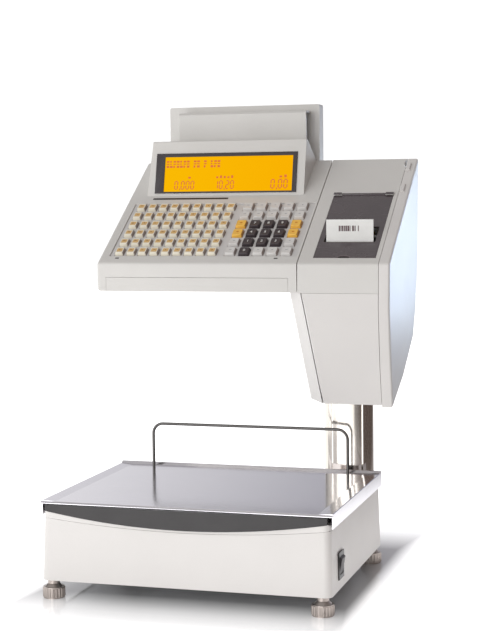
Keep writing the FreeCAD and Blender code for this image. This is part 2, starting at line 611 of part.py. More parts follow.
hood_outline = [(hood_front, wedge_back(hood_front) + 0.05), (hood_front + 1.5, 576.0),
                (hood_front + 2.0, 590.0), (hood_front + 1.0, 602.0), (hood_front, hood_top - 3.0),
                (hood_front + 3.0, hood_top), (key_rear_y, hood_top),
                (key_rear_y, wedge_back(key_rear_y) + 0.05)]
hood_sheet = 2.5
end_recess = 8.0            # depth of the open recess at the hood's right end
hood = prism_x(hood_outline, hood_left, hood_right)
hood_inside = inset(hood_outline, hood_sheet)
hood_cavity = prism_x(hood_inside, hood_left + hood_sheet, hood_right - end_recess - hood_sheet)
hood_end = prism_x(hood_inside, hood_right - end_recess, hood_right + 1.0)
hood_foot = box(hood_left + 6.0, hood_right - end_recess - 6.0, hood_front + 6.0, 228.0, 540.0, 580.0)
save("display_hood", hood.cut(hood_cavity).cut(hood_end).cut(hood_foot))

# ---- customer display, on the back of the head ----
cust_front = key_rear_y + 0.2
customer = box(cust_left, cust_right, cust_front, cust_rear, cust_bottom, cust_top)
customer = customer.makeFillet(3.0, [e for e in customer.Edges if e.CenterOfMass.y > cust_front + 0.1])
inside = box(cust_left + 2.5, cust_right - 2.5, cust_front + 2.5, cust_rear - 2.5,
             cust_bottom + 2.5, cust_top - 2.5)
cust_view = (cust_left + 18.0, cust_right - 18.0, cust_rear - 10.0, cust_rear + 5.0, 552.0, 604.0)
save("customer_housing", customer.cut(inside).cut(box(*cust_view)))
cust_bezel = box(cust_left + 10.0, cust_right - 10.0, cust_rear, cust_rear + bezel_sheet,
                 545.0, 611.0)
save("customer_window", cust_bezel.cut(box(cust_left + 18.5, cust_right - 18.5, cust_rear - 1.0,
                                           cust_rear + 5.0, 552.5, 603.5)))
cust_screen = box(cust_left + 18.3, cust_right - 18.3, cust_rear - 4.0, cust_rear - 0.2, 552.3, 603.7)
cust_backlight = box(cust_left + 22.0, cust_right - 22.0, cust_rear - 9.0, cust_rear - 3.0, 556.0, 600.0)
save("customer_lcd", join(cust_screen, cust_backlight))

# ---- printer covers ----
# Side view of the printer below the keyboard slope, front top first, then round the rear.
side_outline = [(key_front_y, key_front_z), (27.5, 350.0), (36.0, 280.0), (48.0, 226.5), (120.0, 256.0),
                (192.0, 302.0), (212.0, 343.0), (226.0, 414.0), (key_rear_y, key_rear_z)]
left_outline = side_outline[:4] + [(96.0, 226.5)] + side_outline[5:]
left_part = 150.0           # the neck's underside is flat left of this
neck_low = 225.0
neck_high = 372.0
neck_gap = 2.2              # dark groove between the neck's front and its left flank
seam_top = 104.7            # seam between front and left flank, at neck_high
seam_low = 128.9
chamfer_x = 27.0
chamfer_y = 45.0


def flank_wire(seam, front, z, inwards):
    run = chamfer_x / chamfer_y
    shift = inwards * math.hypot(1.0, run)
    right = printer_right + (20.0 if inwards else 0.0)
    points = [V(seam + run * front + shift, 0.0, z),
              V(seam - chamfer_x + inwards, front + chamfer_y + (inwards - shift) / -run, z),
              V(seam - chamfer_x + inwards, 260.0, z), V(right, 260.0, z), V(right, 0.0, z)]
    return Part.makePolygon(points + points[:1])


def flank_solid(inwards):
    """The neck's plan, chamfered at the front left and narrowing downwards."""
    grow = (seam_low - seam_top) / (neck_high - neck_low)
    low, high = 200.0, 440.0
    wires = []
    for z in (low, high):
        seam = seam_top + (neck_high - z) * grow
        front = 30.0 + (neck_high - z) * 18.0 / (neck_high - neck_low)
        wires.append(flank_wire(seam, front, z, inwards))
    return Part.makeLoft(wires, True, True)


def below_waist(gap):
    return prism_x([(-10.0, waist(-10.0) - gap), (260.0, waist(260.0) - gap), (260.0, 150.0), (-10.0, 150.0)],
                   0.0, 300.0)


neck_outer = prism_x(side_outline, 60.0, printer_right).fuse(prism_x(left_outline, 60.0, left_part))
neck_outer = neck_outer.common(flank_solid(0.0)).common(below_waist(fit_gap))
neck_inner = prism_x(inset(side_outline, wall), 60.0, printer_right + 20.0)
neck_inner = neck_inner.fuse(prism_x(inset(left_outline, wall), 60.0, left_part - wall))
neck_inner = neck_inner.common(flank_solid(wall))
neck_shell = neck_outer.cut(neck_inner)


def front_zone(gap):
    """Everything right of the front seam and in front of the neck's rear half."""
    grow = (seam_low - seam_top) / (neck_high - neck_low)
    at = {z: seam_top + (neck_high - z) * grow + gap for z in (200.0, 440.0)}
    return prism_y([(at[200.0], 200.0), (300.0, 200.0), (300.0, 440.0), (at[440.0], 440.0)],
                   0.0, 56.0 - gap)


column_hole = column_oval(1.0, 200.0, 380.0)
save("printer_front", neck_shell.common(front_zone(neck_gap / 2.0)))
save("neck_cover", neck_shell.cut(front_zone(-neck_gap / 2.0)).cut(column_hole))

lid_left = 119.0
lid_right = 200.6
lid_front = 12.5
lid_back = 156.8
lid_sheet = 2.5
lid_gap = 0.3
barrel_at = (157.4, 0.4)    # hinge line of the window lid: up the slope, above it
barrel_radius = 1.6
barrel_pin = 0.8
barrel_ends = (lid_left + 11.0, lid_right - 11.0)

cover_outer = rounded_front(prism_x(side_outline, head_seam + seam_gap / 2.0, printer_right))
above_waist = [(0.0, waist(0.0)), (260.0, waist(260.0)), (260.0, 600.0), (0.0, 600.0)]
cover_outer = cover_outer.common(prism_x(above_waist, 0.0, 300.0))
cover_inner = prism_x(inset(side_outline, wall), head_seam - 5.0, printer_right - wall)
side_window = prism_x([(40.0, 360.0), (190.0, 360.0), (190.0, 500.0), (40.0, 400.0)],
                      printer_right - 5.0, printer_right + 1.0)
lid_hole = box(lid_left - lid_gap, lid_right + lid_gap, lid_front - lid_gap, lid_back + lid_gap, -10.0, 10.0)
barrel_slot = box(lid_left - lid_gap, lid_right + lid_gap, lid_back - 1.0, barrel_at[0] + 2.1, -10.0, 10.0)
ledge = box(head_seam + 2.0, printer_right - wall, lid_front - 4.0, lid_front + 3.0, -6.0, -lid_sheet - 0.3)
knuckles = []
for x0, x1 in ((lid_left - lid_gap - 0.5, barrel_ends[0] - 0.3),
               (barrel_ends[1] + 0.3, lid_right + lid_gap + 0.5)):
    knuckles.append(cylinder(barrel_radius, x1 - x0, (x0, barrel_at[0], barrel_at[1]), (1, 0, 0)))
    knuckles.append(box(x0, x1, barrel_at[0], barrel_at[0] + 4.0, -2.6, 0.0))
printer_cover = cover_outer.cut(cover_inner).cut(side_window)
printer_cover = printer_cover.cut(on_slope(lid_hole)).cut(on_slope(barrel_slot))
barrel_bore = cylinder(barrel_pin, lid_right - lid_left + 4.0, (lid_left - 2.0,) + barrel_at, (1, 0, 0))

# Door hinge: two arms on the printer cover, one lug on the door, a pin through all three.
door_axis = (214.8, 226.0)
door_pin = 1.5
arm_low = (484.0, 491.7)
arm_high = (508.3, 516.0)
arms = []
for z0, z1 in (arm_low, arm_high):
    arms.append(box(printer_right - 5.9, door_axis[0], door_axis[1] - 2.6, door_axis[1] + 2.6, z0, z1))
    arms.append(cylinder(2.8, z1 - z0, (door_axis[0], door_axis[1], z0)))
pin_hole = cylinder(door_pin, 60.0, (door_axis[0], door_axis[1], 470.0))
hinge_post = prism_x(inset(side_outline, 1.0), printer_right - 5.9, printer_right - 1.0)
hinge_post = hinge_post.common(box(190.0, 210.0, 212.0, 240.0, 428.0, 560.0))
door_sweep = cylinder(11.7, 200.0, (door_axis[0], door_axis[1], 390.0))
printer_cover = join(printer_cover, hinge_post).cut(door_sweep)
printer_cover = join(printer_cover, on_slope(ledge), *[on_slope(k) for k in knuckles], *arms)
save("printer_cover", printer_cover.cut(on_slope(barrel_bore)).cut(pin_hole))

lid = box(lid_left, lid_right, lid_front, lid_back, -lid_sheet, 0.0)
lid = lid.cut(box(lid_left - 1.0, barrel_ends[0], lid_back - 1.8, lid_back + 1.0, -5.0, 5.0))
lid = lid.cut(box(barrel_ends[1], lid_right + 1.0, lid_back - 1.8, lid_back + 1.0, -5.0, 5.0))
thumb_notch = box(150.8, 167.4, lid_front - 1.0, lid_front + 4.0, -5.0, 5.0)
label_slot = box(126.0, 194.0, 48.0, 82.0, -5.0, 5.0)
lid_barrel = cylinder(barrel_radius, barrel_ends[1] - barrel_ends[0],
                      (barrel_ends[0],) + barrel_at, (1, 0, 0))
barrel_clear = cylinder(barrel_pin + 0.05, 100.0, (barrel_ends[0] - 5.0,) + barrel_at, (1, 0, 0))
save("window_lid", on_slope(join(lid, lid_barrel).cut(thumb_notch).cut(label_slot).cut(barrel_clear)))

lid_pin = on_slope(cylinder(barrel_pin, lid_right - lid_left + 0.6, (lid_left - 0.3,) + barrel_at, (1, 0, 0)))
save("hinge_pins", Part.makeCompound([lid_pin, cylinder(door_pin, arm_high[1] - arm_low[0],
                                                        (door_axis[0], door_axis[1], arm_low[0]))]))

# Side door: a shallow tray, its rear wall notched for the hinge arms.
door_left = printer_right + 0.6
door_outline = side_outline[:3] + [(47.6, 224.0)] + side_outline[4:]
door = rounded_front(prism_x(door_outline, door_left, head_right))
door = door.makeFillet(3.0, [e for e in door.Edges if abs(e.CenterOfMass.x - head_right) < 0.01])
door = door.cut(prism_x(inset(door_outline, wall), door_left - 1.0, head_right - wall))
arm_notches = [box(door_left - 1.0, head_right - wall, 222.0, 240.0, z0 - 1.5, z1 + 1.5)
               for z0, z1 in (arm_low, arm_high)]
door = door.cut(Part.makeCompound(arm_notches))
lug = box(212.6, head_right - wall + 0.5, door_axis[1] - 2.6, door_axis[1] + 2.6,
          arm_low[1] + 0.4, arm_high[0] - 0.4)
lug_bore = cylinder(door_pin + 0.05, 40.0, (door_axis[0], door_axis[1], 480.0))
catches = []
for start, end in ((162.5, 179.0), (214.0, 231.0)):
    catch = box(207.3, 213.3, start, end, -1.0, 2.6)
    catches.append(on_slope(catch.makeFillet(1.2, [e for e in catch.Edges if e.CenterOfMass.z > 2.5])))
save("side_door", join(door, lug, *catches).cut(lug_bore))

# ---- printer works ----
roll_y = 100.0
roll_z = 320.0
roll_radius = 45.0
core_radius = 13.0
strip_y = 72.7
strip_sheet = 0.3
platen_y = 81.0
platen_z = 405.0
platen_radius = 8.0
shaft_radius = 3.0
label_left = 129.0
label_right = 191.3
plate_left = 109.0
plate_right = 112.0

left_plate = prism_x([(48.0, 385.0), (62.0, 412.0), (100.0, 434.0), (100.0, column_top), (152.0, column_top),
                      (152.0, 380.0), (118.0, 300.0), (82.0, 300.0)], plate_left, plate_right)
flange = box(plate_right - 1.0, plate_right + 16.0, 104.0, 150.0, column_top - 3.0, column_top)
cross_bar = box(plate_right - 1.0, 200.0, 48.0, 54.0, 392.0, 404.0)
right_plate = prism_x([(48.0, 388.0), (60.0, 414.0), (96.0, 418.0), (96.0, 388.0)], 197.0, 200.0)
stub = cylinder(8.0, 84.0, (plate_right - 1.0, roll_y, roll_z), (1, 0, 0))
works = join(left_plate, flange, cross_bar, right_plate, stub)
shaft_hole = cylinder(shaft_radius + 0.05, 110.0, (100.0, platen_y, platen_z), (1, 0, 0))
save("printer_frame", works.cut(shaft_hole))

save("print_head", join(box(132.0, 188.0, strip_y - 8.0, strip_y - 0.5, 396.0, 414.0),
                        box(128.0, 192.0, 54.0, strip_y - 7.5, 396.0, 402.0)))
platen = cylinder(platen_radius, 66.0, (127.0, platen_y, platen_z), (1, 0, 0))
shaft = cylinder(shaft_radius, 94.0, (104.5, platen_y, platen_z), (1, 0, 0))
save("platen_roller", join(platen, shaft))
motor = box(plate_right, 124.5, platen_y - 16.0, platen_y + 16.0, platen_z - 16.0, platen_z + 16.0)
save("drive_motor", motor.cut(cylinder(shaft_radius + 0.3, 30.0, (104.0, platen_y, platen_z), (1, 0, 0))))

spool = cylinder(core_radius - 0.5, 64.0, (128.0, roll_y, roll_z), (1, 0, 0))
spool = join(spool, cylinder(22.0, 2.0, (126.0, roll_y, roll_z), (1, 0, 0)))
save("label_spool", spool.cut(cylinder(8.05, 80.0, (120.0, roll_y, roll_z), (1, 0, 0))))
paper = cylinder(roll_radius, label_right - label_left, (label_left, roll_y, roll_z), (1, 0, 0))
save("label_roll", paper.cut(cylinder(core_radius - 0.5, 80.0, (120.0, roll_y, roll_z), (1, 0, 0))))

# The label strip runs off the roll along a tangent, then stands upright in the slot.
label_tip = 464.0
bend_z = 385.0


def leaves_roll(radius, y, z):
    """Where a line from a point in front of the roll touches a circle round its centre."""
    reach = math.hypot(y - roll_y, z - roll_z)
    angle = math.atan2(z - roll_z, y - roll_y) + math.acos(radius / reach)
    return roll_y + radius * math.cos(angle), roll_z + radius * math.sin(angle)


clear = roll_radius + 0.4
strip = prism_x([(strip_y, label_tip), (strip_y, bend_z), leaves_roll(clear, strip_y, bend_z),
                 leaves_roll(clear + strip_sheet, strip_y - strip_sheet, bend_z + 0.1),
                 (strip_y - strip_sheet, bend_z + 0.1), (strip_y - strip_sheet, label_tip)],
                label_left, label_right)
save("label_strip", strip)
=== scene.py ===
import json
import math
import random

import bmesh
import bpy
from mathutils import Matrix, Vector


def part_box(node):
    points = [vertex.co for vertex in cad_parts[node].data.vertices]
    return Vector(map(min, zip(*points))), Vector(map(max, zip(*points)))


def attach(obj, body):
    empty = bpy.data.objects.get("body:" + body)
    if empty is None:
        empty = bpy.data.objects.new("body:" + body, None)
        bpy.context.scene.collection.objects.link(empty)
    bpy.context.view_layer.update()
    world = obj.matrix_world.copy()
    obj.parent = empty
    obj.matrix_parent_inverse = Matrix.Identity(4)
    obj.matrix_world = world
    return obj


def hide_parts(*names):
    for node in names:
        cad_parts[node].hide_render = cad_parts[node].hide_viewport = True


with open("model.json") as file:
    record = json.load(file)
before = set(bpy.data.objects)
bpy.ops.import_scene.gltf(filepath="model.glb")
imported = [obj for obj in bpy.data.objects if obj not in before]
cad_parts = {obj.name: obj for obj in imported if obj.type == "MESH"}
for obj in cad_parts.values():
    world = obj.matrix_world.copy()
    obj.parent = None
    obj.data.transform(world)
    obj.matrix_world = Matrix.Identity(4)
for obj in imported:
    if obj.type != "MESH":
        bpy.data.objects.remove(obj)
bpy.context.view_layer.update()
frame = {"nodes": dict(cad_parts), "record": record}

# A shop scale that prints price labels. Metres, in the frame's own axes:
# X to the user's right, Y away from the user, Z up.
random.seed(7)
mm = 0.001
X_AXIS = Vector((1.0, 0.0, 0.0))


# ---- flat faces of CAD nodes as drawing boards ----
class Board:
    """A flat face: x to the viewer's right, y up the face, z out of it."""

    def __init__(self, node, towards):
        mesh = frame["nodes"][node].data
        facing = [face for face in mesh.polygons if face.normal.dot(towards) > 0.7]
        largest = max(facing, key=lambda face: face.area)
        self.normal = largest.normal.copy()
        self.right = X_AXIS.copy() if self.normal.y < 0.0 else -X_AXIS
        self.up = self.normal.cross(self.right)
        self.level = largest.center.dot(self.normal)
        spots = [vertex.co for vertex in mesh.vertices]
        self.x_range = self.extent(spots, self.right)
        self.y_range = self.extent(spots, self.up)
        self.matrix = Matrix((self.right, self.up, self.normal)).transposed().to_4x4()
        self.matrix.translation = self.normal * self.level

    def extent(self, spots, direction):
        values = [spot.dot(direction) for spot in spots]
        return min(values), max(values)

    def flat(self, spot):
        """A world point in the board's own x, y and z."""
        return Vector((spot.dot(self.right), spot.dot(self.up), spot.dot(self.normal) - self.level))


# ---- materials: one small builder, then one function for each kind of surface ----
def paint(red, green, blue):
    """Screen values from 0 to 255 as the linear colour that shaders take."""
    def linear(value):
        share = value / 255.0
        return share / 12.92 if share <= 0.04045 else ((share + 0.055) / 1.055) ** 2.4
    return (linear(red), linear(green), linear(blue), 1.0)


def shade(colour, factor):
    return tuple(min(1.0, channel * factor) for channel in colour[:3]) + (1.0,)


class Graph:
    """Helpers that add nodes to a node tree."""

    def __init__(self, tree):
        self.tree = tree
        self.tree.nodes.clear()

    def node(self, kind):
        return self.tree.nodes.new(kind)

    def put(self, socket, value):
        """Links another node's output to the socket, or sets its number or colour."""
        if isinstance(value, bpy.types.NodeSocket):
            self.tree.links.new(value, socket)
        else:
            socket.default_value = value

    def span(self, value, start, end, low=0.0, high=1.0):
        """The value's range from start to end, stretched to run from low to high."""
        node = self.node("ShaderNodeMapRange")
        self.put(node.inputs["Value"], value)
        for name, number in (("From Min", start), ("From Max", end), ("To Min", low), ("To Max", high)):
            self.put(node.inputs[name], number)
        return node.outputs["Result"]

    def maths(self, operation, first, second=0.0):
        node = self.node("ShaderNodeMath")
        node.operation = operation
        self.put(node.inputs[0], first)
        self.put(node.inputs[1], second)
        return node.outputs["Value"]

    def dot(self, first, second):
        node = self.node("ShaderNodeVectorMath")
        node.operation = "DOT_PRODUCT"
        self.put(node.inputs[0], first)
        self.put(node.inputs[1], second)
        return node.outputs["Value"]

    def blend(self, share, first, second):
        """Colour between two others."""
        node = self.node("ShaderNodeMix")
        node.data_type = "RGBA"
        self.put(node.inputs[0], share)
        self.put(node.inputs[6], first)
        self.put(node.inputs[7], second)
        return node.outputs[2]


class Look(Graph):
    """A procedural material. Textures follow the object's own coordinates, in metres."""

    def __init__(self, name):
        self.material = bpy.data.materials.new(name)
        self.material.use_nodes = True
        super().__init__(self.material.node_tree)
        self.shader = self.node("ShaderNodeBsdfPrincipled")
        output = self.node("ShaderNodeOutputMaterial")
        self.put(output.inputs["Surface"], self.shader.outputs["BSDF"])
        self.place = self.node("ShaderNodeTexCoord").outputs["Object"]

    def set(self, **values):
        """Sockets of the shader, by name with spaces written as underscores."""
        for name, value in values.items():
            self.put(self.shader.inputs[name.replace("_", " ")], value)

    def stretched(self, stretch):
        mapping = self.node("ShaderNodeMapping")
        self.put(mapping.inputs["Vector"], self.place)
        self.put(mapping.inputs["Scale"], stretch)
        return mapping.outputs["Vector"]

    def noise(self, scale, detail=2.0, stretch=(1.0, 1.0, 1.0)):
        texture = self.node("ShaderNodeTexNoise")
        self.put(texture.inputs["Vector"], self.stretched(stretch))
        self.put(texture.inputs["Scale"], scale)
        self.put(texture.inputs["Detail"], detail)
        return texture.outputs["Fac"]

    def cells(self, scale, stretch=(1.0, 1.0, 1.0), feature="F1"):
        texture = self.node("ShaderNodeTexVoronoi")
        texture.feature = feature
        self.put(texture.inputs["Vector"], self.stretched(stretch))
        self.put(texture.inputs["Scale"], scale)
        return texture.outputs["Distance"]

    def along(self, axis):
        """The place's X, Y or Z."""
        node = self.node("ShaderNodeSeparateXYZ")
        self.put(node.inputs[0], self.place)
        return node.outputs[axis]

    def edges(self, radius):
        """1 on edges and corners, 0 from that radius away from them."""
        rounded = self.node("ShaderNodeBevel")
        rounded.samples = 4
        self.put(rounded.inputs["Radius"], radius)
        smooth = self.node("ShaderNodeNewGeometry").outputs["Normal"]
        return self.span(self.dot(rounded.outputs["Normal"], smooth), 0.995, 0.86)

    def bump(self, height, strength, distance):
        node = self.node("ShaderNodeBump")
        self.put(node.inputs["Height"], height)
        self.put(node.inputs["Strength"], strength)
        self.put(node.inputs["Distance"], distance)
        self.set(Normal=node.outputs["Normal"])


def moulded(name, colour, roughness, grain=0.25, wear=0.35, gloss=0.5, painted_side_shade=None):
    """Moulded plastic: spark-eroded grain, slight drift of colour, edges rubbed paler and smoother.

    Sides that face right or left take a darker colour, if one is given: painted shade, as those sides lie
    in shadow.
    """
    look = Look(name)
    drift = look.noise(11.0, 3.0)
    speck = look.noise(2400.0, 2.0)
    smudge = look.noise(42.0, 4.0)
    base = look.blend(look.span(drift, 0.3, 0.7), shade(colour, 0.975), shade(colour, 1.02))
    base = look.blend(look.span(speck, 0.42, 0.75, 0.0, 0.22), base, shade(colour, 0.84))
    # painted shade: faces turned to the right or left are blended towards a darker colour
    if painted_side_shade:
        facing = look.node("ShaderNodeNewGeometry").outputs["True Normal"]
        sideways = look.maths("ABSOLUTE", look.dot(facing, X_AXIS))
        base = look.blend(look.span(sideways, 0.45, 0.7), base, painted_side_shade)
    rubbed = look.maths("MULTIPLY", look.edges(0.9 * mm), look.span(smudge, 0.3, 0.6, 0.25, 1.0))
    base = look.blend(look.maths("MULTIPLY", rubbed, wear), base, shade(colour, 1.16))
    matt = look.span(smudge, 0.25, 0.75, roughness - 0.05, roughness + 0.07)
    matt = look.maths("SUBTRACT", matt, look.maths("MULTIPLY", rubbed, 0.08))
    look.set(Base_Color=base, Roughness=matt, Specular_IOR_Level=gloss)
    look.bump(speck, grain, 0.05 * mm)
    return look.material


def brushed(name, colour, roughness, stretch, streak_depth=0.12, wear=0.3):
    """Bare metal with drawn or brushed streaks; stretch is small along the streaks."""
    look = Look(name)
    streak = look.noise(1.0, 4.0, stretch)
    patch = look.noise(16.0, 3.0)
    fine = look.noise(700.0, 2.0)
    base = look.blend(look.span(streak, 0.3, 0.7), shade(colour, 1.0 - streak_depth), shade(colour, 1.05))
    base = look.blend(look.span(patch, 0.35, 0.7, 0.0, 0.35), base, shade(colour, 0.92))
    rim = look.maths("MULTIPLY", look.edges(0.8 * mm), wear)
    base = look.blend(rim, base, shade(colour, 1.25))
    matt = look.span(streak, 0.25, 0.75, roughness * 0.8, roughness * 1.25)
    matt = look.maths("ADD", matt, look.span(patch, 0.4, 0.8, 0.0, roughness * 0.3))
    look.set(Base_Color=base, Metallic=1.0, Roughness=matt)
    look.bump(look.maths("ADD", streak, look.maths("MULTIPLY", fine, 0.25)), 0.12, 0.02 * mm)
    return look.material


def glossy(name, colour, roughness, coat=0.6, speckle=0.3):
    """Hard glossy plastic with a lacquer-like surface, faint dust and fine scratches."""
    look = Look(name)
    dust = look.noise(520.0, 3.0)
    haze = look.noise(30.0, 4.0)
    scratch = look.noise(1.0, 2.0, (40.0, 2600.0, 900.0))
    base = look.blend(look.span(haze, 0.3, 0.7), shade(colour, 0.88), shade(colour, 1.1))
    base = look.blend(look.span(dust, 0.62, 0.85, 0.0, speckle), base, shade(colour, 1.9))
    base = look.blend(look.maths("MULTIPLY", look.edges(0.6 * mm), 0.3), base, shade(colour, 1.8))
    matt = look.span(haze, 0.3, 0.7, roughness * 0.8, roughness * 1.3)
    matt = look.maths("ADD", matt, look.span(scratch, 0.62, 0.8, 0.0, 0.12))
    look.set(Base_Color=base, Roughness=matt, Coat_Weight=coat, Coat_Roughness=0.06)
    look.bump(look.maths("ADD", haze, look.maths("MULTIPLY", scratch, 0.3)), 0.04, 0.05 * mm)
    return look.material


def rubbery(name, colour, roughness=0.7):
    """Rubber or silicone: matt, finely pitted, greyer where it is rubbed."""
    look = Look(name)
    pits = look.cells(900.0)
    cloud = look.noise(35.0, 4.0)
    base = look.blend(look.span(cloud, 0.3, 0.7), shade(colour, 0.8), shade(colour, 1.3))
    base = look.blend(look.maths("MULTIPLY", look.edges(0.8 * mm), 0.4), base, shade(colour, 1.8))
    look.set(Base_Color=base, Roughness=look.span(pits, 0.0, 0.6, roughness, roughness + 0.15))
    look.bump(pits, 0.2, 0.08 * mm)
    return look.material


def circuit_board(name, node):
    """Green board with paler tracks; what stands above its sheet is dark component bodies."""
    look = Look(name)
    tracks = look.cells(260.0, feature="DISTANCE_TO_EDGE")
    fibre = look.noise(1500.0, 2.0)
    mask = paint(18, 92, 52)
    base = look.blend(look.span(tracks, 0.05, 0.09, 1.0, 0.0), mask, paint(64, 142, 84))
    base = look.blend(look.span(fibre, 0.4, 0.8, 0.0, 0.3), base, shade(mask, 0.6))
    parts = look.blend(look.span(look.noise(90.0, 2.0), 0.4, 0.6), paint(26, 26, 28), paint(58, 58, 62))
    sheet = Board(node, Vector((0.0, 0.0, 1.0)))
    height = look.dot(look.place, sheet.normal)
    tall_from = sheet.level + 0.2 * mm
    base = look.blend(look.span(height, tall_from, tall_from + 0.1 * mm), base, parts)
    look.set(Base_Color=base, Roughness=look.span(fibre, 0.3, 0.7, 0.32, 0.5))
    look.bump(tracks, 0.25, 0.1 * mm)
    return look.material


def amber_screen(name, node):
    """Back-lit screen: yellow, a little deeper towards one side, with a fine dot grid."""
    look = Look(name)
    low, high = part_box(node)
    across = look.span(look.along("X"), low.x, high.x)
    cloud = look.span(look.noise(14.0, 2.0), 0.3, 0.7, -0.12, 0.12)
    glow = look.blend(look.maths("ADD", across, cloud), paint(254, 190, 4), paint(254, 182, 2))
    dots = look.cells(1400.0)
    glow = look.blend(look.span(dots, 0.3, 0.7, 0.0, 0.12), glow, paint(232, 150, 0))
    look.set(Base_Color=shade(paint(255, 170, 0), 0.02), Emission_Color=glow, Emission_Strength=0.96,
             Specular_IOR_Level=0.0, Roughness=look.span(dots, 0.0, 0.7, 0.3, 0.4))
    look.bump(dots, 0.05, 0.02 * mm)
    return look.material


def screen_ink(name):
    """The darker orange of switched segments, a little uneven, as back-lit ink is."""
    look = Look(name)
    cloud = look.noise(300.0, 2.0)
    glow = look.blend(look.span(cloud, 0.3, 0.7), paint(200, 92, 0), paint(214, 108, 0))
    look.set(Base_Color=paint(120, 50, 8), Emission_Color=glow, Emission_Strength=0.85,
             Roughness=look.span(cloud, 0.3, 0.7, 0.3, 0.45))
    look.bump(cloud, 0.03, 0.02 * mm)
    return look.material


def paper(name, colour):
    """Coated label paper: faint fibres and cloudiness."""
    look = Look(name)
    fibres = look.noise(1.0, 3.0, (2500.0, 700.0, 700.0))
    cloud = look.noise(90.0, 3.0)
    base = look.blend(look.span(cloud, 0.3, 0.7), shade(colour, 0.965), shade(colour, 1.02))
    base = look.blend(look.span(fibres, 0.6, 0.85, 0.0, 0.15), base, shade(colour, 0.85))
    look.set(Base_Color=base, Roughness=look.span(fibres, 0.3, 0.7, 0.42, 0.6))
    look.bump(fibres, 0.1, 0.03 * mm)
    return look.material


def printed(name, colour, roughness=0.5):
    """Ink or a printed label: small density changes and a slight grain."""
    look = Look(name)
    density = look.noise(480.0, 3.0)
    wide = look.noise(60.0, 2.0)
    base = look.blend(look.span(density, 0.3, 0.75), shade(colour, 1.08), shade(colour, 0.86))
    base = look.blend(look.span(wide, 0.35, 0.65, 0.0, 0.3), base, shade(colour, 0.82))
    look.set(Base_Color=base, Roughness=look.span(density, 0.3, 0.7, roughness - 0.06, roughness + 0.08))
    look.bump(density, 0.05, 0.02 * mm)
    return look.material


# ---- mesh helpers ----
def make_piece(name, build, material, body, sharp_above=35.0):
    """A new object from a function that fills a bmesh, riding on a body."""
    form = bmesh.new()
    build(form)
    bmesh.ops.recalc_face_normals(form, faces=form.faces)
    mesh = bpy.data.meshes.new(name)
    form.to_mesh(mesh)
    form.free()
    mesh.shade_smooth()
    mesh.set_sharp_from_angle(angle=math.radians(sharp_above))
    mesh.materials.append(material)
    piece = bpy.data.objects.new(name, mesh)
    bpy.context.scene.collection.objects.link(piece)
    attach(piece, body)
    return piece


def add_rings(form, rings, matrix, middle=None):
    """Skin over rings of equal length, closed below by a face and above by a face or a middle point."""
    made = [[form.verts.new(matrix @ Vector(point)) for point in ring] for ring in rings]
    for lower, upper in zip(made, made[1:]):
        for index in range(len(lower)):
            after = (index + 1) % len(lower)
            form.faces.new((lower[index], lower[after], upper[after], upper[index]))
    form.faces.new(made[0][::-1])
    if middle is None:
        form.faces.new(made[-1])
        return
    top = form.verts.new(matrix @ Vector(middle))
    for index in range(len(made[-1])):
        form.faces.new((made[-1][index], made[-1][(index + 1) % len(made[-1])], top))


def rounded_ring(centre, width, depth, radius, level, steps=4):
    ring = []
    for quarter, (side_x, side_y) in enumerate(((1, 1), (-1, 1), (-1, -1), (1, -1))):
        for step in range(steps + 1):
            angle = math.pi / 2.0 * (quarter + step / steps)
            ring.append((centre[0] + side_x * (width / 2.0 - radius) + radius * math.cos(angle),
                         centre[1] + side_y * (depth / 2.0 - radius) + radius * math.sin(angle), level))
    return ring


def add_slab(form, matrix, outline, low, high):
    """Thin plate between two levels of a board, from (x, y) points."""
    add_rings(form, [[(x, y, low) for x, y in outline], [(x, y, high) for x, y in outline]], matrix)


def bar_outline(x0, x1, y0, y1):
    return [(x0, y0), (x1, y0), (x1, y1), (x0, y1)]


def islands(node):
    """The separate solids of a CAD node, as lists of points."""
    form = bmesh.new()
    form.from_mesh(frame["nodes"][node].data)
    bmesh.ops.remove_doubles(form, verts=form.verts, dist=0.002 * mm)
    seen = set()
    found = []
    for start in form.verts:
        if start in seen:
            continue
        seen.add(start)
        queue = [start]
        group = []
        while queue:
            vertex = queue.pop()
            group.append(vertex.co.copy())
            for edge in vertex.link_edges:
                other = edge.other_vert(vertex)
                if other not in seen:
                    seen.add(other)
                    queue.append(other)
        found.append(group)
    form.free()
    return found


def soften(node, width, segments=2):
    """Rounds a CAD node's edges by modifiers, and evens out its shading."""
    piece = frame["nodes"][node]
    weld = piece.modifiers.new("weld", "WELD")
    weld.merge_threshold = 0.004 * mm
    if width:
        bevel = piece.modifiers.new("soft edges", "BEVEL")
        bevel.width = width
        bevel.segments = segments
        bevel.limit_method = "ANGLE"
        bevel.angle_limit = math.radians(40.0)
        bevel.use_clamp_overlap = True
    even = piece.modifiers.new("even shading", "WEIGHTED_NORMAL")
    even.weight = 80
    even.keep_sharp = False


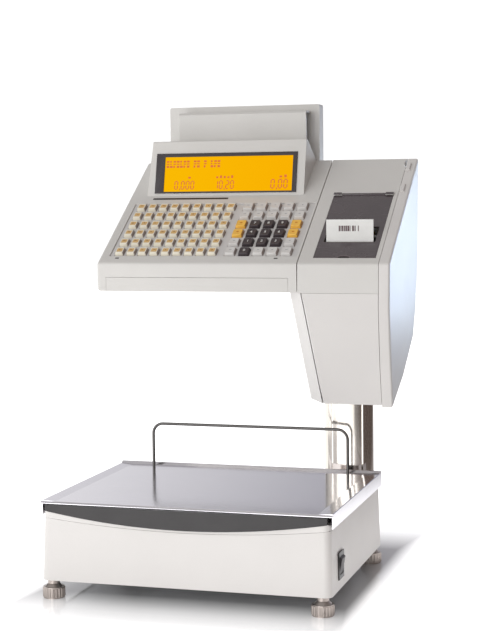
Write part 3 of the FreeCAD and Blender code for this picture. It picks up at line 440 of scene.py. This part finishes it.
# ---- colours and the material of each CAD node ----
cover_colour = paint(227, 224, 221)
# painted shade for the right and left sides of the key caps
cap_painted_shade = paint(168, 156, 150)
looks = {
    "cover_light": moulded("cover_light", cover_colour, 0.42, grain=0.3),
    "cover_grey": moulded("cover_grey", paint(220, 218, 214), 0.42, grain=0.3),
    "panel_grey": moulded("panel_grey", paint(214, 212, 210), 0.5, grain=0.15, wear=0.1),
    "trim_black": moulded("trim_black", paint(40, 37, 38), 0.34, grain=0.4, wear=0.15),
    "rocker_black": glossy("rocker_black", paint(44, 38, 42), 0.4, coat=0.1),
    "display_black": glossy("display_black", paint(38, 26, 32), 0.16, speckle=0.12),
    "key_black": moulded("key_black", paint(60, 50, 54), 0.42, grain=0.3, wear=0.3),
    "key_white": moulded("key_white", paint(224, 222, 219), 0.4, grain=0.2, painted_side_shade=cap_painted_shade),
    "key_yellow": moulded("key_yellow", paint(255, 200, 84), 0.4, grain=0.2,
                           painted_side_shade=paint(204, 146, 70)),
    "key_cream": moulded("key_cream", paint(244, 238, 220), 0.4, grain=0.2, painted_side_shade=cap_painted_shade),
    "stainless": brushed("stainless", (0.75, 0.735, 0.77, 1.0), 0.12, (18.0, 1600.0, 900.0), 0.05, 0.05),
    # rail_steel: its very dark base colour is a painted reflection, the polished wire made as dark as the
    # dim room it mirrors
    "rail_steel": brushed("rail_steel", (0.13, 0.125, 0.12, 1.0), 0.3, (60.0, 1500.0, 60.0), 0.1),
    "zinc_steel": brushed("zinc_steel", (0.5, 0.51, 0.52, 1.0), 0.36, (90.0, 90.0, 90.0), 0.2),
    "screw_steel": brushed("screw_steel", (0.48, 0.48, 0.47, 1.0), 0.3, (400.0, 400.0, 400.0), 0.15),
    "foot_metal": brushed("foot_metal", (0.45, 0.4, 0.37, 1.0), 0.3, (500.0, 500.0, 80.0), 0.12),
    "column_alu": brushed("column_alu", (0.78, 0.73, 0.67, 1.0), 0.13, (2200.0, 2200.0, 9.0), 0.07),
    "cast_alu": brushed("cast_alu", (0.42, 0.42, 0.43, 1.0), 0.48, (260.0, 260.0, 260.0), 0.25),
    "cell_alu": brushed("cell_alu", (0.62, 0.62, 0.63, 1.0), 0.28, (30.0, 900.0, 900.0), 0.12),
    "rubber": rubbery("rubber", paint(58, 56, 56)),
    "silicone": rubbery("silicone", paint(150, 150, 154), 0.5),
    "platen_rubber": rubbery("platen_rubber", paint(66, 66, 70), 0.55),
    "lid_smoke": glossy("lid_smoke", paint(82, 73, 76), 0.24, coat=0.35, speckle=0.1),
    "motor_metal": moulded("motor_metal", paint(70, 70, 74), 0.35, grain=0.3, wear=0.6),
    "head_ceramic": brushed("head_ceramic", (0.28, 0.28, 0.3, 1.0), 0.32, (900.0, 40.0, 900.0), 0.2),
    "spool_plastic": moulded("spool_plastic", paint(86, 90, 100), 0.45, grain=0.4),
    "paper": paper("paper", paint(240, 240, 237)),
}


def slot_of(node):
    return next(part["material_slot"] for part in frame["record"]["subparts"] if part["node"] == node)


for node, piece in frame["nodes"].items():
    slot = slot_of(node)
    if slot == "board":
        material = circuit_board("board_" + node, node)
    elif slot == "amber":
        material = amber_screen("amber_" + node, node)
    else:
        material = looks[slot]
    for place in piece.material_slots:
        place.material = material

for node in ("base_housing", "base_cover", "keyboard_top", "printer_cover", "printer_front", "neck_cover",
             "side_door", "display_housing", "display_hood", "customer_housing"):
    soften(node, 0.5 * mm)
for node in ("front_trim", "display_window", "customer_window", "window_lid", "key_panel", "rocker_frame",
             "power_rocker", "mains_inlet", "column_bracket", "pan_carrier"):
    soften(node, 0.3 * mm)


# ---- keys: moulded caps with dished tops, a set for each body that moves ----
slope = Board("key_panel", Vector((0.0, -0.5, 0.8)))
flange_width = 0.8 * mm
flange_height = 1.0 * mm


class Cap:
    """Place and size of one key, on the keyboard's slope."""

    def __init__(self, points):
        spots = [slope.flat(point) for point in points]
        lows = [min(spot[axis] for spot in spots) for axis in range(3)]
        highs = [max(spot[axis] for spot in spots) for axis in range(3)]
        self.centre = ((lows[0] + highs[0]) / 2.0, (lows[1] + highs[1]) / 2.0)
        self.width = highs[0] - lows[0] - 2.0 * flange_width
        self.depth = highs[1] - lows[1] - 2.0 * flange_width
        self.low = lows[2]
        self.high = highs[2]

    def add(self, form):
        shoulder = self.low + flange_height
        steps = ((2.0 * flange_width, self.low), (2.0 * flange_width, shoulder), (0.0, shoulder),
                 (0.0, 0.7 * mm), (-1.5 * mm, self.high - 0.7 * mm), (-1.9 * mm, self.high - 0.25 * mm),
                 (-2.7 * mm, self.high), (-4.8 * mm, self.high - 0.2 * mm))
        rings = [rounded_ring(self.centre, self.width + grow, self.depth + grow, 1.5 * mm, level)
                 for grow, level in steps]
        add_rings(form, rings, slope.matrix, (*self.centre, self.high - 0.35 * mm))

    def add_plate(self, form, outline, shift=(0.0, 0.0), bury=0.1 * mm, rise=0.15 * mm):
        """A thin printed or glued plate on the dished top."""
        surface = self.high - 0.3 * mm
        moved = [(self.centre[0] + x + shift[0], self.centre[1] + y + shift[1]) for x, y in outline]
        add_slab(form, slope.matrix, moved, surface - bury, surface + rise)


def key_set(name, node, material, body):
    """Caps in place of a CAD node's keys."""
    caps = [Cap(points) for points in islands(node)]

    def build(form):
        for cap in caps:
            cap.add(form)

    piece = make_piece(name, build, looks[material], body)
    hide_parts(node)
    return caps


def rounded_plan(width, depth, radius):
    return [(x, y) for x, y, level in rounded_ring((0.0, 0.0), width, depth, radius, 0.0)]


def blob(width, depth, corners=9):
    """Uneven round outline."""
    outline = []
    for corner in range(corners):
        angle = 2.0 * math.pi * corner / corners
        reach = random.uniform(0.75, 1.0) / 2.0
        outline.append((width * reach * math.cos(angle), depth * reach * math.sin(angle)))
    return outline


def text_piece(name, text, matrix, size, thickness, material, body):
    """A numeral as a solid plate, centred on the matrix."""
    curve = bpy.data.curves.new(name, "FONT")
    curve.body = text
    curve.size = size
    curve.align_x = "CENTER"
    curve.align_y = "CENTER"
    curve.extrude = thickness / 2.0
    curve.offset = size * 0.012
    writing = bpy.data.objects.new(name + "_curve", curve)
    bpy.context.scene.collection.objects.link(writing)
    bpy.context.view_layer.update()
    mesh = bpy.data.meshes.new_from_object(writing)
    bpy.data.objects.remove(writing)
    bpy.data.curves.remove(curve)
    mesh.name = name
    mesh.transform(matrix)
    form = bmesh.new()
    form.from_mesh(mesh)
    bmesh.ops.remove_doubles(form, verts=form.verts, dist=0.005 * mm)
    form.to_mesh(mesh)
    form.free()
    mesh.materials.clear()
    mesh.materials.append(material)
    piece = bpy.data.objects.new(name, mesh)
    bpy.context.scene.collection.objects.link(piece)
    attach(piece, body)


digit_ink = printed("digit_ink", paint(236, 236, 232))
for digit in "0123456789":
    cap = key_set("cap_" + digit, "key_" + digit, "key_black", "digit_" + digit)[0]
    spot = slope.matrix @ Matrix.Translation((*cap.centre, cap.high - 0.22 * mm))
    text_piece("mark_" + digit, digit, spot, 6.2 * mm, 0.2 * mm, digit_ink, "digit_" + digit)

yellow_caps = key_set("caps_yellow", "keys_yellow", "key_yellow", "yellow_keys")
function_caps = key_set("caps_function", "keys_function", "key_white", "function_keys")
preset_caps = key_set("caps_preset", "keys_preset", "key_cream", "preset_keys")


def yellow_marks(form):
    for cap in yellow_caps:
        cap.add_plate(form, blob(4.6 * mm, 3.4 * mm), (0.0, 0.4 * mm))


def function_marks(form):
    for cap in function_caps:
        half = random.uniform(0.8, 2.2) * mm
        cap.add_plate(form, bar_outline(-half, half, 0.4 * mm, 1.2 * mm))


def preset_labels(form):
    outline = rounded_plan(8.4 * mm, 7.4 * mm, 1.2 * mm)
    for cap in preset_caps:
        cap.add_plate(form, outline, (-0.3 * mm, 0.2 * mm), rise=0.12 * mm)


def preset_prints(form):
    for cap in preset_caps:
        shift = (random.uniform(-0.8, 0.2) * mm, random.uniform(0.4, 1.4) * mm)
        outline = blob(random.uniform(2.6, 5.0) * mm, random.uniform(1.6, 2.8) * mm)
        cap.add_plate(form, outline, shift, bury=-0.08 * mm, rise=0.2 * mm)


for name, build, ink_name, colour, body, slot in (
        ("yellow_marks", yellow_marks, "mark_orange", paint(222, 142, 34), "yellow_keys", "key_yellow"),
        ("function_marks", function_marks, "mark_grey", paint(158, 158, 162), "function_keys", "key_white"),
        ("preset_labels", preset_labels, "label_gold", paint(226, 186, 122), "preset_keys", "key_yellow"),
        ("preset_prints", preset_prints, "label_brown", paint(176, 130, 82), "preset_keys", "key_cream")):
    make_piece(name, build, printed(ink_name, colour), body)


# ---- dark plates over the card slot and the two pry slots, painted shade for their dark openings ----
panel_rim = 3.0 * mm       # part of the key panel hidden under the keyboard's shell
shell_level = 1.5 * mm     # the shell's surface, above the key panel


def slot_shade_plates(form):
    """Dark plates just proud of the shell, painted shade for the slots' dark openings; places in
    millimetres from the corner of the visible panel.
    """
    left = slope.x_range[0] + panel_rim
    front = slope.y_range[0] + panel_rim
    card_slot = (22.6, 132.0, 133.4, 137.2)
    pry_slots = [(x, x + 5.0, -5.6, -3.6) for x in (9.9, 229.0)]
    for x0, x1, y0, y1 in [card_slot] + pry_slots:
        outline = bar_outline(left + x0 * mm, left + x1 * mm, front + y0 * mm, front + y1 * mm)
        add_slab(form, slope.matrix, outline, shell_level - 0.1 * mm, shell_level + 0.12 * mm)


make_piece("slot_shade_plates", slot_shade_plates, looks["trim_black"], "stand")


# ---- the window lid's hinge and thumb notch ----
lid = Board("window_lid", Vector((0.0, -0.5, 0.8)))


def hinge_ears(form):
    """Dark caps on the printer cover's knuckles, at both ends of the lid's hinge."""
    length = 10.8 * mm
    overhang = 0.2 * mm
    front = lid.y_range[1] - 4.4 * mm
    back = lid.y_range[1] + 0.1 * mm
    for left in (lid.x_range[0] - overhang, lid.x_range[1] + overhang - length):
        add_slab(form, lid.matrix, bar_outline(left, left + length, front, back), 2.0 * mm, 2.6 * mm)


def thumb_highlight(form):
    """Raised crescent at the lid's front edge, round the thumb notch, coloured paler than the lid as a
    painted highlight on the notch's rim.
    """
    steps = 16
    middle = lid.x_range[0] + 40.1 * mm
    front = lid.y_range[0] + 0.3 * mm
    angles = [math.pi * step / steps for step in range(steps + 1)]
    outer, inner = [[(middle + half_width * math.cos(angle), front + height * math.sin(angle))
                     for angle in angles]
                    for half_width, height in ((9.5 * mm, 5.4 * mm), (7.6 * mm, 3.8 * mm))]
    for step in range(steps):
        quad = [inner[step], outer[step], outer[step + 1], inner[step + 1]]
        add_slab(form, lid.matrix, quad, -0.1 * mm, 0.2 * mm)


make_piece("hinge_ears", hinge_ears, looks["lid_smoke"], "stand")
# painted highlight: the crescent's grey is paler than the smoked lid
make_piece("thumb_highlight", thumb_highlight, printed("thumb_painted_highlight", paint(116, 106, 108)), "lid")


# ---- readouts on both displays ----
lit_bars = {"0": "abcdef", "1": "bc", "2": "abged"}
ink_low = -0.04 * mm
ink_high = 0.08 * mm

# Places on a screen, as shares of its width and height.
numbers = (("0,000", 0.085, 0.25, 0.22), ("10,20", 0.4, 0.56, 0.22), ("0,00", 0.835, 0.975, 0.24))
numbers_low = 0.085
unit_marks = ((0.19, 0.225), (0.41, 0.555), (0.90, 0.97))
unit_marks_low = 0.38
mark_heights = (0.05, 0.075, 0.06)
message_groups = (7, 2, 1, 3)
message_rows = ((0.69, 0.75), (0.78, 0.81), (0.84, 0.89))


def add_digit(form, board, digit, left, bottom, width, height):
    """Seven-segment digit that leans slightly to the right."""
    right = left + width
    middle = bottom + height / 2.0
    top = bottom + height
    ends = {"a": ((left, top), (right, top)), "b": ((right, top), (right, middle)),
            "c": ((right, middle), (right, bottom)), "d": ((left, bottom), (right, bottom)),
            "e": ((left, bottom), (left, middle)), "f": ((left, middle), (left, top)),
            "g": ((left, middle), (right, middle))}
    half = width * 0.17
    for name in lit_bars[digit]:
        start, end = Vector(ends[name][0]), Vector(ends[name][1])
        along = (end - start).normalized()
        across = Vector((-along.y, along.x))
        start += along * half * 0.4
        end -= along * half * 0.4
        corners = [start, start + (along + across) * half, end + (across - along) * half, end,
                   end - (along + across) * half, start + (along - across) * half]
        outline = [(corner.x + 0.04 * (corner.y - bottom), corner.y) for corner in corners]
        add_slab(form, board.matrix, outline, ink_low, ink_high)


def add_number(form, board, text, left, right, bottom, height):
    """Digits of equal width between two x values; a comma takes little room."""
    room = sum(0.35 if symbol == "," else 1.0 for symbol in text)
    pitch = (right - left) / room
    x = left
    for symbol in text:
        if symbol == ",":
            dot = bar_outline(x - 0.02 * pitch, x + 0.16 * pitch,
                              bottom - 0.16 * height, bottom + 0.06 * height)
            add_slab(form, board.matrix, dot, ink_low, ink_high)
            x += 0.35 * pitch
        else:
            add_digit(form, board, symbol, x, bottom, 0.6 * pitch, height)
            x += pitch


def readout(board):
    """What the screen shows: weight, unit price and price, marks above each, and a row of plain bars."""
    left, right = board.x_range
    bottom, top = board.y_range
    width = right - left
    height = top - bottom

    def build(form):
        def bar(start, end, low, high):
            outline = bar_outline(left + start * width, left + end * width,
                                  bottom + low * height, bottom + high * height)
            add_slab(form, board.matrix, outline, ink_low, ink_high)

        for text, start, end, tall in numbers:
            add_number(form, board, text, left + start * width, left + end * width,
                       bottom + numbers_low * height, tall * height)
        for start, end in unit_marks:
            marks = max(1, round((end - start) / 0.03))
            step = (end - start) / marks
            for mark in range(marks):
                begin = start + step * mark
                bar(begin, begin + 0.55 * step, unit_marks_low, unit_marks_low + mark_heights[mark % 3])
        column = 0
        for group in message_groups:
            for place in range(column, column + group):
                begin = 0.012 + 0.0268 * place
                for low, high in message_rows:
                    reach = 0.021 if (place + round(low * 10)) % 3 else 0.013
                    bar(begin, begin + reach, low, high)
            column += group + 1
    return build


ink = screen_ink("screen_ink")
for node, name, towards in (("display_lcd", "readout_front", Vector((0.0, -1.0, 0.2))),
                            ("customer_lcd", "readout_rear", Vector((0.0, 1.0, 0.0)))):
    make_piece(name, readout(Board(node, towards)), ink, "stand")


# ---- print on the label, and painted shade on the wall in the hood's open end ----
label = Board("label_strip", Vector((0.0, -1.0, 0.0)))


def label_print(form):
    """One row of bars: the width of each and the gap after it, in millimetres."""
    bars = ((1.9, 0.6), (1.2, 0.5), (2.0, 0.6), (1.6, 0.5), (2.2, 0.5), (2.4, 0.6), (1.0, 2.2),
            (2.4, 0.8), (1.4, 3.0), (1.2, 0.0))
    left = label.x_range[0] + 16.5 * mm
    top = label.y_range[1] - 8.0 * mm
    bottom = top - 7.2 * mm
    for width, gap in bars:
        outline = bar_outline(left, left + width * mm, bottom, top)
        add_slab(form, label.matrix, outline, -0.02 * mm, 0.05 * mm)
        left += (width + gap) * mm


make_piece("label_print", label_print, printed("label_ink", paint(96, 72, 76)), "stand")


def hood_shade_pad(form):
    """A dark pad over the wall inside the hood's open right end: painted shade for the shadowed hollow."""
    wall_inset = 8.0 * mm
    thickness = 0.6 * mm
    wall_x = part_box("display_hood")[1].x - wall_inset
    hood = frame["nodes"]["display_hood"].data
    corners = {}
    for face in hood.polygons:
        if face.normal.x > 0.99 and abs(face.center.x - wall_x) < 0.05 * mm:
            points = [hood.vertices[index].co for index in face.vertices]
            keys = [point.to_tuple(6) for point in points]
            for key, point in zip(keys, points):
                if key not in corners:
                    corners[key] = form.verts.new(point)
            form.faces.new([corners[key] for key in keys])
    raised = bmesh.ops.extrude_face_region(form, geom=form.faces[:], use_keep_orig=True)
    for part in raised["geom"]:
        if isinstance(part, bmesh.types.BMVert):
            part.co.x += thickness


make_piece("hood_shade_pad", hood_shade_pad, looks["display_black"], "stand")


# ---- floor, light and camera ----
def floor():
    """Glossy white floor with painted light: an emitted glow round the base, none under it or at the right;
    painted shade at the front right.
    """
    painted_shade_brown = (0.07, 0.055, 0.05, 1.0)
    middle_x = -0.02
    half_width = 0.2
    half_depth = 0.19
    side_steepness = 6.0
    look = Look("floor")
    haze = look.noise(3.0, 3.0)
    beside = look.maths("ABSOLUTE", look.maths("SUBTRACT", look.along("X"), middle_x))
    beside = look.maths("MULTIPLY", look.maths("SUBTRACT", beside, half_width), side_steepness)
    before = look.maths("SUBTRACT", look.maths("ABSOLUTE", look.along("Y")), half_depth)
    away = look.maths("MAXIMUM", beside, before)
    front_right = look.dot(look.place, (1.0, -0.6, 0.0))
    right = look.dot(look.place, (1.0, 0.13, 0.0))
    # painted light: emission brightens the floor round the base, with none under the base or far to the
    # right
    glow = look.maths("MULTIPLY", look.span(away, -0.03, 0.14), look.span(right, 0.42, 0.34))
    glow = look.maths("MULTIPLY", glow, look.span(front_right, 0.8, 0.64))
    white = look.blend(haze, (0.72, 0.72, 0.735, 1.0), (0.76, 0.76, 0.76, 1.0))
    # painted shade: the floor's colour turns dark brown towards the front right
    base = look.blend(look.span(front_right, 0.62, 0.8), white, painted_shade_brown)
    look.set(Base_Color=base, Roughness=look.span(haze, 0.3, 0.7, 0.05, 0.08), IOR=2.0,
             Emission_Color=(1.0, 1.0, 1.0, 1.0), Emission_Strength=glow)
    mesh = bpy.data.meshes.new("floor")
    form = bmesh.new()
    bmesh.ops.create_grid(form, x_segments=8, y_segments=8, size=6.0)
    form.to_mesh(mesh)
    form.free()
    mesh.materials.append(look.material)
    ground = bpy.data.objects.new("floor", mesh)
    bpy.context.scene.collection.objects.link(ground)


def softbox(name, place, target, width, height, power, colour=(1.0, 1.0, 1.0)):
    light = bpy.data.lights.new(name, "AREA")
    light.shape = "RECTANGLE"
    light.size = width
    light.size_y = height
    light.energy = power
    light.color = colour
    lamp = bpy.data.objects.new(name, light)
    lamp.location = place
    lamp.rotation_euler = (Vector(target) - Vector(place)).to_track_quat("-Z", "Y").to_euler()
    bpy.context.scene.collection.objects.link(lamp)
    return lamp


def grey(level):
    return (level, level, level, 1.0)


def surroundings():
    """Studio walls, seen in reflections: brightest behind the scale, dim overhead, dark at the right."""
    blue_grey = (0.36, 0.355, 0.4, 1.0)
    pale = (0.92, 0.91, 0.93, 1.0)
    ceiling = (0.55, 0.54, 0.54, 1.0)
    brown = (0.2, 0.16, 0.15, 1.0)
    world = bpy.data.worlds.new("room")
    bpy.context.scene.world = world
    world.use_nodes = True
    room = Graph(world.node_tree)
    direction = room.node("ShaderNodeTexCoord").outputs["Generated"]
    height = room.dot(direction, (0.0, 0.0, 1.0))
    leftness = room.dot(direction, (-1.0, 0.0, 0.0))
    behind = room.dot(direction, (0.0, 1.0, 0.0))
    backdrop = room.blend(room.span(behind, 0.2, 0.75), grey(0.62), grey(1.1))
    band = room.blend(room.span(leftness, 0.2, 0.42), blue_grey, pale)
    band = room.blend(room.span(leftness, 0.6, 0.85), band, grey(0.2))
    band = room.blend(room.span(behind, 0.3, -0.3), band, grey(0.9))
    band = room.blend(room.span(height, 0.4, 0.7), band, ceiling)
    light = room.blend(room.span(height, 0.125, 0.155), backdrop, band)
    rightness = room.dot(direction, (0.951, -0.309, 0.0))
    light = room.blend(room.span(rightness, 0.31, 0.72), light, brown)
    background = room.node("ShaderNodeBackground")
    room.put(background.inputs["Color"], light)
    output = room.node("ShaderNodeOutputWorld")
    room.put(output.inputs["Surface"], background.outputs["Background"])


floor()
surroundings()
softbox("key_light", place=(-0.7, -2.8, 0.55), target=(0.0, 0.0, 0.3), width=2.4, height=2.1, power=31.0)
door_light = softbox("door_light", place=(0.45, 0.35, 0.42), target=(0.19, 0.03, 0.5),
                     width=0.25, height=0.25, power=0.42, colour=(0.62, 0.78, 1.0))
door_light.data.spread = math.radians(80.0)

camera = bpy.data.objects.new("camera", bpy.data.cameras.new("camera"))
camera.data.lens = 88.26
camera.data.sensor_width = 36.0
camera.location = (0.58721, -1.93998, 0.50022)
azimuth = math.radians(16.619)
pitch = math.radians(4.548)
roll = math.radians(-0.638)
turn = Matrix.Rotation(azimuth, 4, "Z")
tilt = Matrix.Rotation(math.pi / 2.0 - pitch, 4, "X")
camera.rotation_euler = (turn @ tilt @ Matrix.Rotation(roll, 4, "Z")).to_euler()
bpy.context.scene.collection.objects.link(camera)
bpy.context.scene.camera = camera
bpy.context.scene.view_settings.view_transform = "Standard"
